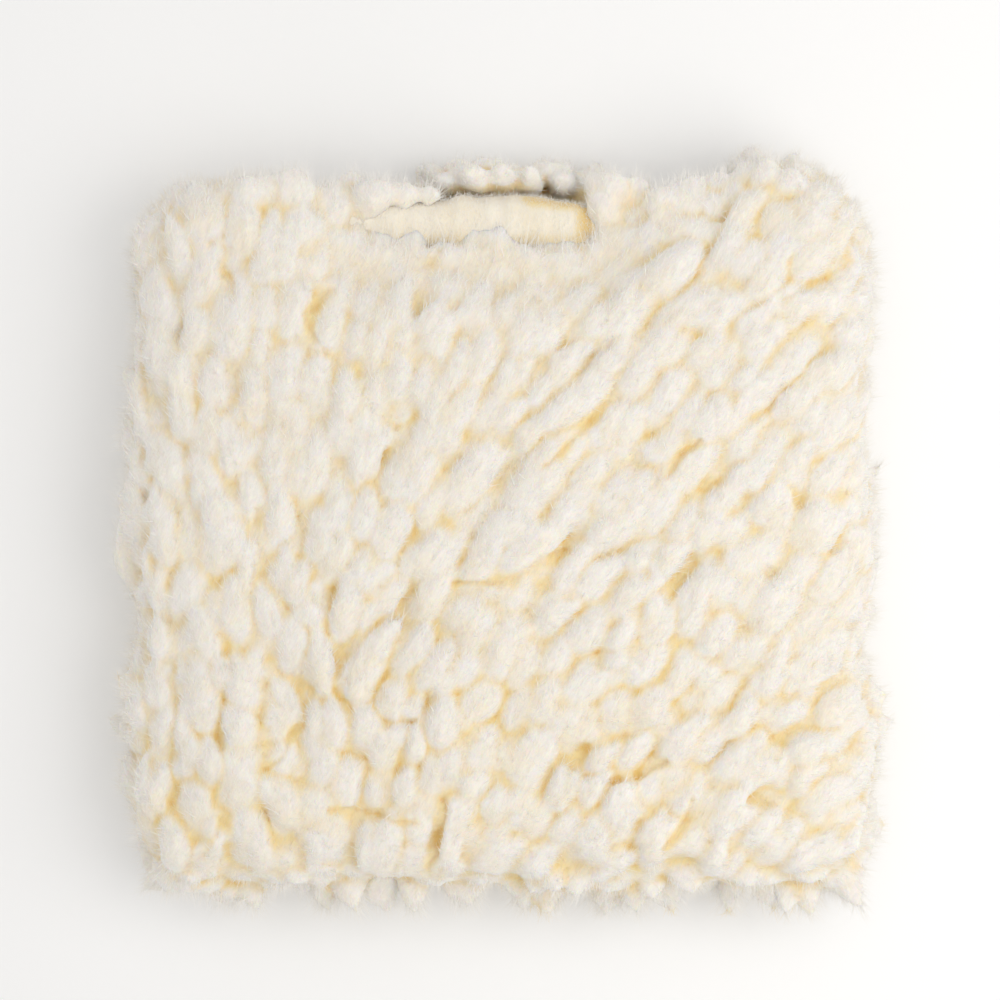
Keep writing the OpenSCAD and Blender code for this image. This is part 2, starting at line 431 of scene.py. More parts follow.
def behind_lip_locks(rng):
    """Back locks past the lip: two low rows over the ground, and the tuft that stands up behind the lip."""
    sets = []
    for y, z, aim, length in (
        (HEM_Y - 2 * MM, 8.0 * MM, (0.1, 1.0, 0.15), 22 * MM),
        (HEM_Y + 6 * MM, 6.5 * MM, (0.1, 1.0, 0.6), 18 * MM),
    ):
        x = np.arange(-MOUTH_X, MOUTH_X, 7 * MM)
        roots = places(x + rng.uniform(-3, 3, len(x)) * MM, y, z)
        sets.append(straight_locks(roots, aim, length, 5.0 * MM, BACK, rng))
    for past_lip, z, length in ((6.0 * MM, 5 * MM, 25 * MM), (9.5 * MM, 4 * MM, 18 * MM)):
        x = np.arange(TUFT_X - TUFT_REACH, TUFT_X + TUFT_REACH, 5.5 * MM)
        roots = places(x, LIP_Y + past_lip, z)
        filler = straight_locks(roots, (0.0, 0.1, 1.0), length, 4.0 * MM, BACK, rng)
        sets.append(lower_at_ends(filler, x))
    x, lean = KNOBS.T
    roots = places(x, LIP_Y + 3.2 * MM, 10 * MM)
    knobs = straight_locks(roots, (0.0, 0.0, 1.0), 25 * MM, 4.8 * MM, BACK, rng, loose=0.3)
    knobs["lines"][:, :, 1] += lean[:, None] * np.linspace(0, 1, RINGS) ** 2
    sets.append(lower_at_ends(knobs, x))
    return merged(sets)


def forked(locks, rng):
    """The locks with a thinner strand beside most of them, leaning away, so that their shapes differ."""
    n = len(locks["lines"])
    some = rng.uniform(size=n) < 0.6
    lines, normals = locks["lines"][some], locks["normals"][some]
    n = len(lines)
    heading = unit(lines[:, -1] - lines[:, 0])
    across = unit(np.cross(normals[:, RINGS // 2], heading)) * rng.choice((-1, 1), (n, 1))
    t = np.linspace(0, 1, RINGS)[None, :, None]
    width = locks["width"][some]
    middle = lines[:, RINGS // 2][:, None, :]
    shift = rng.uniform(-0.3, 0.3, (n, 1, 1)) * (lines[:, -1:] - lines[:, :1])
    lean = (0.35 + rng.uniform(0.1, 0.9, (n, 1, 1)) * t) * width[:, None, None] * across[:, None, :]
    lift = rng.uniform(-0.8, 0.7, (n, 1, 1)) * MM * normals
    strand = {
        "lines": middle + (lines - middle) * rng.uniform(0.55, 0.85, (n, 1, 1)) + shift + lean + lift,
        "normals": normals,
        "width": width * rng.uniform(0.5, 0.75, n),
        "pointed": np.clip(locks["pointed"][some] + 0.2, 0, 1),
    }
    return merged([locks, strand])


def merged(sets):
    return {key: np.concatenate([s[key] for s in sets]) for key in sets[0]}


def tubes(locks):
    """Points and faces of the closed, flattened tubes around the locks' middle lines."""
    lines, normals = locks["lines"], locks["normals"]
    n = len(lines)
    t = np.linspace(0, 1, RINGS)
    widest = 0.65  # how far along a blunt lock is widest
    foot = 0.35 + 0.65 * smoothstep(t, 0, 0.5)
    round_end = np.sqrt(np.clip(1 - ((t - widest) / 0.35) ** 2, 0, 1))
    blunt = np.where(t < widest, foot, round_end)
    sharp = foot * (1 - smoothstep(t, 0.4, 1.0)) ** 0.7
    pointed = locks["pointed"][:, None]
    width = locks["width"][:, None] * (blunt * (1 - pointed) + sharp * pointed)
    heading = unit(np.gradient(lines, axis=1))
    across = unit(np.cross(normals, heading))
    up = np.cross(heading, across)
    turn = np.linspace(0, 2 * math.pi, SIDES, endpoint=False)
    ring = np.cos(turn)[None, None, :, None] * (width[..., None] * across)[:, :, None, :]
    ring = ring + LOCK_DEPTH * np.sin(turn)[None, None, :, None] * (width[..., None] * up)[:, :, None, :]
    body = (lines[:, :, None, :] + ring)[:, 1:-1]
    points = np.concatenate((body.reshape(n, -1, 3), lines[:, :1], lines[:, -1:]), axis=1)
    # Each tube's points: its inner rings, its foot, its tip
    inner = RINGS - 2
    foot_point = inner * SIDES
    tip_point = foot_point + 1
    k = np.arange(SIDES)
    after = (k + 1) % SIDES
    start = (np.arange(inner - 1) * SIDES)[:, None]
    quads = np.stack((start + k, start + after, start + SIDES + after, start + SIDES + k), -1).reshape(-1, 4)
    last = (inner - 1) * SIDES
    foot_cap = np.column_stack((np.full(SIDES, foot_point), after, k))
    tip_cap = np.column_stack((np.full(SIDES, tip_point), last + k, last + after))
    offset = (np.arange(n) * (tip_point + 1))[:, None, None]
    quads = (quads[None] + offset).reshape(-1, 4)
    caps = (np.vstack((foot_cap, tip_cap))[None] + offset).reshape(-1, 3)
    return points.reshape(-1, 3), quads.tolist() + caps.tolist()


# ---------------- sheets
def closed_sheet(top, bottom, mask):
    """Points and faces of a closed slab between two grids (rows, columns, 3), over the cells in mask."""
    rows, columns, _ = top.shape
    index = np.arange(rows * columns).reshape(rows, columns)
    below = rows * columns
    faces = []
    for r, c in zip(*np.nonzero(mask)):
        a, b, d, e = index[r, c], index[r, c + 1], index[r + 1, c + 1], index[r + 1, c]
        faces.append((a, b, d, e))
        faces.append((below + e, below + d, below + b, below + a))
        sides = (((a, b), (r - 1, c)), ((b, d), (r, c + 1)), ((d, e), (r + 1, c)), ((e, a), (r, c - 1)))
        for (p, q), (rr, cc) in sides:
            inside = 0 <= rr < mask.shape[0] and 0 <= cc < mask.shape[1] and mask[rr, cc]
            if not inside:
                faces.append((q, p, below + p, below + q))
    return np.vstack((top.reshape(-1, 3), bottom.reshape(-1, 3))), faces


def bed_sheet(side):
    """The dense wool under the locks, which closes the pile down to its backing."""
    steps = 60
    reach = CORE + RIM_PLAN
    gx, gy = np.meshgrid(np.linspace(-reach[0], reach[0], steps), np.linspace(-reach[1], reach[1], steps))
    plan = np.column_stack((gx.ravel(), gy.ravel()))
    shape = gx.shape
    middle = np.clip(plan, -CORE, CORE)
    over = np.linalg.norm(plan - middle, axis=1)
    shrink = np.where(over > RIM_PLAN, RIM_PLAN / np.maximum(over, 1e-9), 1.0)[:, None]
    plan = middle + (plan - middle) * shrink
    outer, _ = on_layer(plan, BED_R - BED_DIP * lip_dip(plan, side), side)
    over_hem = smoothstep(plan[:, 1], HEM_Y - 6 * MM, HEM_Y - 1 * MM)
    inner, _ = on_layer(plan, R_BACKING + (0.6 + 2.6 * over_hem) * MM, side)
    far = (over > 1.25 * RIM_PLAN).reshape(shape)
    blocked = no_wool(plan, side, 0).reshape(shape)
    cells = ~(far[:-1, :-1] & far[1:, 1:]) & ~(blocked[:-1, :-1] | blocked[1:, 1:])
    return closed_sheet(outer.reshape(*shape, 3), inner.reshape(*shape, 3), cells)


# ---------------- cloth
QUARTER_STEPS = 7  # grid lines round a quarter turn
CLOTH_GRID = 3 * MM  # distance between grid lines where the cloth is flat
ROUNDING = 1e-6  # a spare distance, so that a point on an edge counts as inside
PINCH_X = BARE_RIGHT - 1.5 * MM  # where the lip is caught in a small tuck
ARCH_X, ARCH = 2 * MM, 2.6 * MM  # where the front lip stands out furthest, and how far
HEM_T = 0.8 * MM  # thickness of the hem's cloth
HEM_IN_R = 4.9 * MM  # radius of the hem's inner leg
HEM_IN_DEPTH = 8 * MM  # how far the inner leg goes in
HEM_BULGE = 2.6 * MM  # how far the gathered outer leg puffs out


def sewn_positions(half, edge, radius, extra=()):
    """Grid positions from -(half + radius) to half + radius, close together where the cloth turns down."""
    turn = np.sin(np.linspace(0, math.pi / 2, QUARTER_STEPS)) * radius
    flat = np.linspace(-half, half, 2 * int(half / edge))
    inner = np.concatenate([flat, *[np.concatenate((b + turn, -b - turn)) for b in extra]])
    inner = np.sort(inner[np.abs(inner) < half - 0.1 * MM])
    return np.concatenate((-half - turn[::-1], inner, half + turn))


def cloth_panel(name, side, radius, thickness, end_y, wrinkle, seed):
    """One half of a bag of cloth at radius round the pocket, with a neck that leads out to end_y."""
    layers = []
    for r in (radius + thickness / 2, radius - thickness / 2):
        x = sewn_positions(CORE[0], CLOTH_GRID, r, extra=(NECK_X,))
        gx, gy = np.meshgrid(x, sewn_positions(CORE[1], CLOTH_GRID, r))
        plan = np.column_stack((gx.ravel(), gy.ravel()))
        middle = np.clip(plan, -CORE, CORE)
        over = plan - middle
        reach = np.linalg.norm(over, axis=1)
        in_neck = (np.abs(plan[:, 0]) <= NECK_X + r + ROUNDING) & (plan[:, 1] > 0)
        pulled = middle + over * np.minimum(1, r / np.maximum(reach, 1e-9))[:, None]
        pillow = np.sqrt(np.maximum(r * r - reach ** 2, 0))
        neck = np.sqrt(np.maximum(r * r - np.maximum(np.abs(plan[:, 0]) - NECK_X, 0) ** 2, 0))
        neck_plan = np.column_stack((plan[:, 0], np.minimum(plan[:, 1], end_y)))
        plan = np.where(in_neck[:, None], neck_plan, pulled)
        height = np.where(in_neck, np.maximum(pillow, neck), pillow)
        ripple = wrinkle * noise(plan, 17 * MM, seed) * smoothstep(height, 0, radius)
        points = np.column_stack((plan, SEAM_Z + side * (height + ripple)))
        layers.append(points.reshape(*gx.shape, 3))
        valid = (in_neck | (reach <= r + ROUNDING)).reshape(gx.shape)
    mask = valid[:-1, :-1] & valid[1:, 1:] & valid[1:, :-1] & valid[:-1, 1:]
    low = np.abs(gx) > CORE[0]
    corner = (low[:-1, :-1] | low[1:, 1:]) & (valid[:-1, :-1] | valid[1:, 1:]) & (gy[:-1, :-1] < CORE[1])
    points, faces = closed_sheet(*layers[::side], mask | corner)
    obj = mesh_object(name, points, faces)
    obj.data.shade_smooth()
    return obj


def hem_profile(count):
    """The hem's section as (radius, y) pairs: up its outer leg, round the lip, and in along its inner leg."""
    outer_r = R_HEM - HEM_T / 2
    fold_r = (outer_r - HEM_IN_R) / 2
    fold_y = LIP_Y - HEM_T / 2 - fold_r
    outer = np.column_stack((np.full(count, outer_r), np.linspace(HEM_Y, fold_y, count)))
    turn = np.linspace(0, math.pi, count)[1:-1]
    fold = np.column_stack((outer_r - fold_r * (1 - np.cos(turn)), fold_y + fold_r * np.sin(turn)))
    inner = np.column_stack((np.full(count, HEM_IN_R), np.linspace(fold_y, LIP_Y - HEM_IN_DEPTH, count)))
    return np.vstack((outer, fold, inner))


def make_hem(name, side, seed):
    """The soft gathered band round half of the mouth."""
    profile = hem_profile(9)
    slope = np.gradient(profile, axis=0)
    slope /= np.linalg.norm(slope, axis=1, keepdims=True)
    turned = np.column_stack((slope[:, 1], -slope[:, 0]))
    arc = np.linspace(0, math.pi / 2, QUARTER_STEPS)
    straight = np.linspace(NECK_X, -NECK_X, 240)[1:-1]
    middle_x = np.concatenate((np.full(len(arc), NECK_X), straight, np.full(len(arc), -NECK_X)))
    angle = np.concatenate((arc, np.full(len(straight), math.pi / 2), math.pi / 2 + arc))
    run = np.column_stack((middle_x, np.zeros(len(middle_x))))
    on_front = float(side == FRONT)
    # Along the band: pleats that press it in and out, waves of its lip, the arch, the tuck and a painted
    # shadow line along one edge
    loose = smoothstep(np.maximum(NECK_X - np.abs(middle_x), 0), 0, 12 * MM)
    pleat = 0.42 * MM * noise(run, 3.2 * MM, seed) + 0.5 * MM * noise(run, 8 * MM, seed + 1)
    wave = (0.8 * MM * noise(run, 15 * MM, seed + 2) + 0.8 * MM * noise(run, 6 * MM, seed + 3)) * loose
    arch = ARCH * np.exp(-((middle_x - ARCH_X) / (15 * MM)) ** 2) * on_front
    tuck = np.exp(-((middle_x - PINCH_X) / (3.6 * MM)) ** 2) * on_front
    shaded = smoothstep(middle_x, 4 * MM, 10 * MM) * (1 - smoothstep(middle_x, 26 * MM, 28 * MM)) * on_front
    # Across the band, from the wool over the lip and in
    share = np.linspace(0, 1, len(profile))
    bulge = np.sin(np.clip(share / 0.42, 0, 1) * math.pi) * HEM_BULGE
    pressed = np.sin(np.clip(share / 0.5, 0, 1) * math.pi)
    off_wool = smoothstep(share, 0.02, 0.2)
    to_lip = smoothstep(share, 0.1, 0.5)
    edge_shade = np.exp(-((share - 0.40) / 0.09) ** 2)[:, None] * shaded[None, :]
    layers = []
    for offset in (HEM_T / 2, -HEM_T / 2):
        section = profile + offset * turned
        radius = section[:, 0][:, None] + bulge[:, None] * loose[None, :]
        radius = radius + (pleat * loose)[None, :] * off_wool[:, None]
        radius = radius - (2.4 * MM * tuck)[None, :] * pressed[:, None]
        y = section[:, 1][:, None] + (wave + arch - 0.6 * MM * tuck)[None, :] * to_lip[:, None]
        x = middle_x[None, :] + radius * np.cos(angle)[None, :]
        z = SEAM_Z + side * radius * np.sin(angle)[None, :]
        layers.append(np.stack((x, y, z), axis=-1))
    points, faces = closed_sheet(*layers[::side], np.ones((len(profile) - 1, len(middle_x) - 1), bool))
    obj = mesh_object(name, points, faces)
    obj.data.shade_smooth()
    # Painted shade for the colour: the first attribute tints the hem honey where the wool overhangs and
    # shades it, the second tints the tuck and a shadow line along the right half of the lip's fold
    set_attribute(obj.data, "beside_wool", np.tile(np.repeat(1 - off_wool, len(middle_x)), 2))
    set_attribute(obj.data, "tuck", np.tile(np.maximum(tuck[None, :], edge_shade).ravel(), 2))
    return obj


# ---------------- pile
def remesh(obj, voxel):
    """Makes obj's mesh one closed skin without inner walls."""
    modifier = obj.modifiers.new("skin", "REMESH")
    modifier.mode = "VOXEL"
    modifier.voxel_size = voxel
    graph = bpy.context.evaluated_depsgraph_get()
    mesh = bpy.data.meshes.new_from_object(obj.evaluated_get(graph))
    obj.modifiers.clear()
    old = obj.data
    obj.data = mesh
    bpy.data.meshes.remove(old)


def nearest_on_locks(points, locks):
    """Each point's place along its nearest lock, that lock's number and heading, and its offset from it."""
    lines = locks["lines"]
    flat = lines.reshape(-1, 3)
    tree = KDTree(len(flat))
    for i, place in enumerate(flat):
        tree.insert(place, i)
    tree.balance()
    found = np.array([tree.find(p)[1] for p in points])
    which = found // RINGS
    heading = unit(lines[:, -1] - lines[:, 0])[which]
    t = np.tile(np.linspace(0, 1, RINGS), len(lines))
    return t[found], which, heading, points - lines[which, RINGS // 2]


def press_to_floor(points):
    """Wool below the floor's level is pressed up to it."""
    low = FLOOR_Z + 0.3 * MM
    soft = 3 * MM
    depth = np.maximum(low + soft - points[:, 2], 0)
    points[:, 2] += depth - soft * (1 - np.exp(-depth / soft))
    return points


def warped(points, seed):
    """Points pushed about a little, more at large than at small scale, so that no lock stays plain."""
    for size, reach in ((16 * MM, 1.4 * MM), (5 * MM, 0.6 * MM)):
        push = np.column_stack([noise(points, size, seed + 100 + k) for k in range(3)])
        points = points + reach * push
        seed += 10
    return points


def to_parting(points):
    """Plan distance from points to the nearest parting, wandering a little so that no parting is straight."""
    wander = np.column_stack([noise(points, 6 * MM, PARTING_SEED + k) for k in range(2)])
    plan = points[:, :2] + 1.6 * MM * wander
    nearest = np.full(len(plan), np.inf)
    for start, end in PARTINGS:
        run = end - start
        share = np.clip((plan - start) @ run / (run @ run), 0, 1)
        nearest = np.minimum(nearest, np.linalg.norm(plan - start - share[:, None] * run, axis=1))
    return nearest


def part_and_fill(points, normals, crease, hollow):
    """Cuts the partings into the front wool and lifts its tufts, changing the given arrays."""
    upper = smoothstep(points[:, 2], SEAM_Z + R_BACKING, SEAM_Z + 2 * R_BACKING)
    parting = to_parting(points)
    depth = upper * (0.65 + 0.35 * noise(points, 7 * MM, PARTING_SEED + 10))
    points -= (1.7 * MM * depth * np.exp(-(parting / (1.2 * MM)) ** 2))[:, None] * normals
    # Painted shade: the partings are tinted ochre and honey through crease and hollow; the lifted tufts below
    # are left paler
    crease += 1.6 * depth * np.exp(-(parting / (0.9 * MM)) ** 2)
    hollow += 2.8 * depth * np.exp(-(parting / (1.7 * MM)) ** 2)
    for x, y, reach in TUFTS:
        away = np.hypot(points[:, 0] - x, points[:, 1] - y)
        lift = upper * (1 - smoothstep(away, 0.5 * reach, reach))
        points[:, 2] += 2 * MM * lift
        hollow -= lift * (parting > 3 * MM)


def make_pile(name, side, locks, seed):
    """One panel's wool: a skin over all its locks, with what its colour needs stored on it."""
    points, faces = tubes(locks)
    bed_points, bed_faces = bed_sheet(side)
    bed_faces = [tuple(v + len(points) for v in face) for face in bed_faces]
    obj = mesh_object(name, np.vstack((points, bed_points)), faces + bed_faces)
    remesh(obj, VOXEL[side])
    mesh = obj.data
    mesh.shade_smooth()
    edges = read(mesh.edges, "vertices", 2, np.int32)
    points = warped(smoothed(get_points(mesh), edges, 2), seed)
    set_points(mesh, points)
    normals = get_normals(mesh)
    where, which, heading, offset = nearest_on_locks(points, locks)
    # How far each point lies below its near and its wider surroundings, before the softening hides it
    broad = smoothed(points, edges, 60)
    crease = ((smoothed(points, edges, 8) - points) * normals).sum(1)
    hollow = ((broad - points) * normals).sum(1)
    points += (0.85 * smoothstep(hollow, *PIT_DEPTH))[:, None] * (broad - points)
    crease, hollow = crease / crease.std(), hollow / hollow.std()
    # Calm patches are smoother and paler; the closed end has few of them, the wool by the bare lip is one
    calm = smoothstep(noise(points, 30 * MM, seed + 30), -0.2, 0.6)
    calm *= 1 - 0.6 * smoothstep(-points[:, 1], 10 * MM, 60 * MM)
    if side == FRONT:
        calm = np.maximum(calm, 0.8 - 0.8 * smoothstep(from_bare_lip(points), 6 * MM, LIP_SLOPE))
    hollow += 0.35 * smoothstep(-points[:, 1], 10 * MM, 80 * MM)
    crease *= 1 - 0.6 * calm
    hollow *= 1 - 0.6 * calm
    past_rim = smoothstep((np.abs(points[:, :2]) - CORE).max(axis=1), 0.85 * R_PILE, R_PILE)
    past_seam = smoothstep(-side * (points[:, 2] - SEAM_Z), 0, 3 * MM)
    soften = (0.6 + 0.4 * calm) * (1 - 0.7 * np.maximum(past_rim, past_seam))
    points += soften[:, None] * (smoothed(points, edges, 16) - points)
    if side == FRONT:
        part_and_fill(points, normals, crease, hollow)
    else:
        # Painted shade: the back wool in the slot behind the lip is tinted ochre, where the lip shades it
        slot_shade = smoothstep(-np.abs(points[:, 1] - LIP_Y - 3 * MM), -4.5 * MM, -1 * MM)
        hollow += 2.5 * slot_shade * (np.abs(points[:, 2] - SEAM_Z) < R_HEM)
    tone = np.random.default_rng(seed + 5).uniform(0, 1, len(locks["lines"]))
    edge_tips = smoothstep(where, 0.65, 1.0) * past_rim * (locks["pointed"][which] > 0.7)
    hollow += 3.0 * edge_tips * smoothstep(tone[which], 0.35, 0.6)
    # crease and hollow carry painted shade into the colour, with the ochre of some ragged rim tips added to
    # hollow
    set_attribute(mesh, "crease", crease)
    set_attribute(mesh, "hollow", hollow)
    set_attribute(mesh, "along", smoothed(where[:, None], edges, 5)[:, 0])
    # Strands: noise drawn out along each lock, different on each one
    streaks = offset - 0.85 * (offset * heading).sum(1, keepdims=True) * heading + tone[which][:, None]
    ripple = 0.3 * noise(points, 4.5 * MM, seed + 11)
    ripple += 0.35 * noise(streaks, 2.0 * MM, seed + 12) + 0.15 * noise(points, 2.0 * MM, seed + 13)
    points = points + normals * (ripple * MM)[:, None]
    set_points(mesh, press_to_floor(points))
    return obj, heading, hollow


# The box that no fibre leaves
FUZZ_HIGH = np.array(FRONT_HI) + np.array([4.0, 6.0, 4.0]) * MM
FUZZ_LOW = np.array([-FUZZ_HIGH[0], -FUZZ_HIGH[1], FLOOR_Z + 0.1 * MM])


def make_spikes(skin, heading, hollow, count, length, half_width, seed):
    """Corners (n, 4, 3) of loose fibres that stand off a skin, and how hollow the skin is under each."""
    rng = np.random.default_rng(seed)
    points, normals = get_points(skin.data), get_normals(skin.data)
    quads = np.array([face.vertices[:4] for face in skin.data.polygons])
    corners = quads[rng.integers(len(quads), size=count)]
    u, v = rng.uniform(size=(2, count, 1))
    first = corners[:, 0]
    root = (1 - u) * (1 - v) * points[first] + u * (1 - v) * points[corners[:, 1]]
    root += u * v * points[corners[:, 2]] + (1 - u) * v * points[corners[:, 3]]
    high = root[:, 2] > FLOOR_Z + 2.5 * MM  # none in the wool that is pressed to the floor
    root, first = root[high], first[high]
    n = len(root)
    upright, scatter = 0.45, 0.42  # shares of the skin's normal and of chance in a fibre's direction
    aim = unit(upright * normals[first] + heading[first] + rng.normal(0, scatter, (n, 3)))
    # Fibres are shorter in hollows, and longer past the closed end and at the wool's edge on the lip
    reach = length * rng.uniform(0.5, 1.4, n) * np.clip(1 - 0.35 * hollow[first], 0.35, 1.3)
    reach *= 1 + 0.8 * smoothstep(-root[:, 1], FRONT_HI.y - 6 * MM, FRONT_HI.y)
    beside_lip = (root[:, 1] < HEM_Y + 3 * MM) * (1 - smoothstep(from_bare_lip(root), 2 * MM, 8 * MM))
    reach *= 1 + beside_lip
    across = unit(np.cross(aim, rng.normal(size=(n, 3))))
    third = np.cross(aim, across)
    sunk = 0.3 * MM  # how deep its foot is in the skin
    root = root - sunk * normals[first]
    tip = np.clip(root + (reach + sunk)[:, None] * aim, FUZZ_LOW, FUZZ_HIGH)
    cos, sin = 0.5, 0.866  # of a sixth of a turn, for a foot of three points
    ring = (across, -cos * across + sin * third, -cos * across - sin * third)
    return np.stack([root + half_width * c for c in ring] + [tip], axis=1), hollow[first]


def spike_object(name, spikes):
    """One piece made of many closed, thin spikes."""
    base = np.array([(0, 2, 1), (0, 1, 3), (1, 2, 3), (2, 0, 3)])
    faces = (np.arange(len(spikes))[:, None, None] * 4 + base[None]).reshape(-1, 3)
    return mesh_object(name, spikes.reshape(-1, 3), faces.tolist())


# ---------------- materials
# The wool's tones from tips to gaps; the honey and ochre of its gaps, and the gold of GAP_FIBRE for the
# fibres over them, are partly painted shade
WHITE, CREAM, HONEY, OCHRE = (0.88, 0.85, 0.805), (0.88, 0.80, 0.655), (0.88, 0.71, 0.37), (0.84, 0.60, 0.23)
TIP_FIBRE, GAP_FIBRE = (0.92, 0.90, 0.865), (0.90, 0.80, 0.62)
HEM_DARK, HEM_LIGHT = (0.90, 0.815, 0.655), (0.92, 0.86, 0.745)
LINING_DARK, LINING_LIGHT = (0.80, 0.73, 0.60), (0.90, 0.86, 0.76)
KNIT_DARK, KNIT_LIGHT = (0.70, 0.60, 0.42), (0.84, 0.76, 0.60)
ELASTIC_DARK, ELASTIC_LIGHT = (0.78, 0.76, 0.70), (0.90, 0.89, 0.86)
THREAD_DARK, THREAD_LIGHT = (0.72, 0.62, 0.44), (0.88, 0.80, 0.64)
FIBRE_GRAIN = 1500.0  # noise scale of single fibres


class Nodes:
    """A node material being built, with short calls for the nodes that these materials use."""

    def __init__(self, name):
        self.material = bpy.data.materials.new(name)
        self.material.use_nodes = True
        self.tree = self.material.node_tree
        self.shader = self.tree.nodes["Principled BSDF"]
        self.place = self.tree.nodes.new("ShaderNodeTexCoord").outputs["Object"]

    def plug(self, value, socket):
        """Feeds a node's output, a number or a colour into a socket."""
        if isinstance(value, (int, float)):
            socket.default_value = value
        elif isinstance(value, tuple):
            socket.default_value = value if len(value) == len(socket.default_value) else (*value, 1.0)
        else:
            self.tree.links.new(value, socket)

    def node(self, kind, output, settings, **inputs):
        """The named output of a new node with the given settings and inputs."""
        made = self.tree.nodes.new(kind)
        for key, value in settings.items():
            setattr(made, key, value)
        for key, value in inputs.items():
            self.plug(value, made.inputs[key.replace("_", " ")])
        return made.outputs[output]

    def attribute(self, name):
        return self.node("ShaderNodeAttribute", "Fac", {"attribute_name": name})

    def mapped(self, place, **change):
        """place turned or drawn out: Rotation=(x, y, z) or Scale=(x, y, z)."""
        return self.node("ShaderNodeMapping", "Vector", {}, Vector=place, **change)

    def noise(self, scale, roughness=0.55, place=None):
        inputs = {"Vector": place or self.place, "Scale": scale, "Detail": 3.0, "Roughness": roughness}
        return self.node("ShaderNodeTexNoise", "Fac", {}, **inputs)

    def bands(self, axis, scale, distortion=0.0, detail=2.0, place=None):
        settings = {"wave_type": "BANDS", "bands_direction": axis, "wave_profile": "SIN"}
        inputs = {"Vector": place or self.place, "Scale": scale, "Distortion": distortion, "Detail": detail}
        return self.node("ShaderNodeTexWave", "Fac", settings, **inputs)

    def ramp(self, value, low, high, to_low=0.0, to_high=1.0):
        inputs = {"Value": value, "From_Min": low, "From_Max": high, "To_Min": to_low, "To_Max": to_high}
        return self.node("ShaderNodeMapRange", "Result", {"interpolation_type": "SMOOTHSTEP"}, **inputs)

    def math(self, operation, a, b):
        made = self.tree.nodes.new("ShaderNodeMath")
        made.operation = operation
        self.plug(a, made.inputs[0])
        self.plug(b, made.inputs[1])
        return made.outputs[0]

    def centred(self, value, strength=1.0):
        """A noise around 0 instead of 0.5, times strength."""
        return self.math("MULTIPLY", self.math("SUBTRACT", value, 0.5), strength)

    def mix(self, factor, a, b, blend="MIX"):
        settings = {"data_type": "RGBA", "blend_type": blend}
        return self.node("ShaderNodeMix", "Result", settings, Factor=factor, A=a, B=b)

    def set(self, **values):
        for name, value in values.items():
            self.plug(value, self.shader.inputs[name.replace("_", " ")])

    def bump(self, height, distance, strength=0.8):
        bump = {"Height": height, "Distance": distance, "Strength": strength}
        self.set(Normal=self.node("ShaderNodeBump", "Normal", {}, **bump))

    def woolly(self, grain, light_weight, light_depth):
        """A matt surface of fine fibres that lets some light in."""
        self.bump(grain, 0.5 * MM, 0.6)
        self.set(Roughness=0.95, Specular_IOR_Level=0.12, Sheen_Weight=0.2, Sheen_Roughness=0.6)
        self.set(Subsurface_Weight=light_weight, Subsurface_Scale=light_depth)
        self.set(Subsurface_Radius=(1.0, 0.75, 0.4))


def wool_material():
    """Near-white tips, cream sides and ochre gaps, partly painted shade, with a fine grain of fibres."""
    m = Nodes("wool")
    turned = m.mapped(m.place, Rotation=(0.0, 0.0, -GRID_TURN))
    grain = m.noise(FIBRE_GRAIN, 0.65, m.mapped(turned, Scale=(1.0, 0.2, 1.0)))
    patches = m.noise(38.0)
    uneven = m.math("ADD", m.centred(m.noise(140.0)), m.centred(grain))
    crease = m.math("ADD", m.attribute("crease"), m.math("MULTIPLY", uneven, 1.1))
    hollow = m.math("ADD", m.attribute("hollow"), m.math("MULTIPLY", uneven, 1.2))
    # Painted shade: white turns cream, honey and ochre as the crease and hollow attributes deepen, partly the
    # wool's own warmer depth
    colour = m.mix(m.ramp(hollow, -0.7, 0.9), WHITE, CREAM)
    # Cream towards each lock's foot, under the next lock's tip: partly painted shade, partly the roots' own
    # tone
    near_root = m.ramp(m.attribute("along"), 0.8, 0.3)
    colour = m.mix(m.math("MULTIPLY", near_root, m.ramp(patches, 0.35, 0.65, 0.2, 0.8)), colour, CREAM)
    honey_shade_and_tone = m.math("MULTIPLY", m.ramp(hollow, 0.35, 2.1), m.ramp(patches, 0.3, 0.62, 0.45, 1.0))
    colour = m.mix(honey_shade_and_tone, colour, HONEY)
    ochre_crease_shade = m.math("MULTIPLY", m.ramp(crease, 1.0, 3.0), m.ramp(hollow, 1.3, 3.2))
    colour = m.mix(ochre_crease_shade, colour, OCHRE)
    m.set(Base_Color=m.mix(1.0, colour, m.ramp(grain, 0.2, 0.8, 0.93, 1.04), "MULTIPLY"))
    m.woolly(grain, 0.6, 4.0 * MM)
    return m.material


def fibre_material(name, colour):
    """Loose fibres, too thin to show any pattern of their own."""
    m = Nodes(name)
    m.set(Base_Color=colour)
    m.set(Roughness=0.8, Specular_IOR_Level=0.2, Sheen_Weight=0.2)
    return m.material


def cloth_material(name, dark, light, thread_size, depth):
    """Woven or knitted cloth: two crossing rows of threads, with a slight change of tone over its width."""
    m = Nodes(name)
    scale = math.pi / (10 * thread_size)  # this many bands a metre lie one thread apart
    weave = m.math("MULTIPLY", *(m.bands(axis, scale, 0.8, 1.0) for axis in ("X", "Y")))
    shade = m.math("ADD", m.math("MULTIPLY", weave, 0.45), m.math("MULTIPLY", m.noise(60.0), 0.55))
    m.set(Base_Color=m.mix(m.ramp(shade, 0.15, 0.75), dark, light))
    m.bump(weave, depth)
    m.set(Roughness=0.9, Specular_IOR_Level=0.2, Sheen_Weight=0.2)
    return m.material


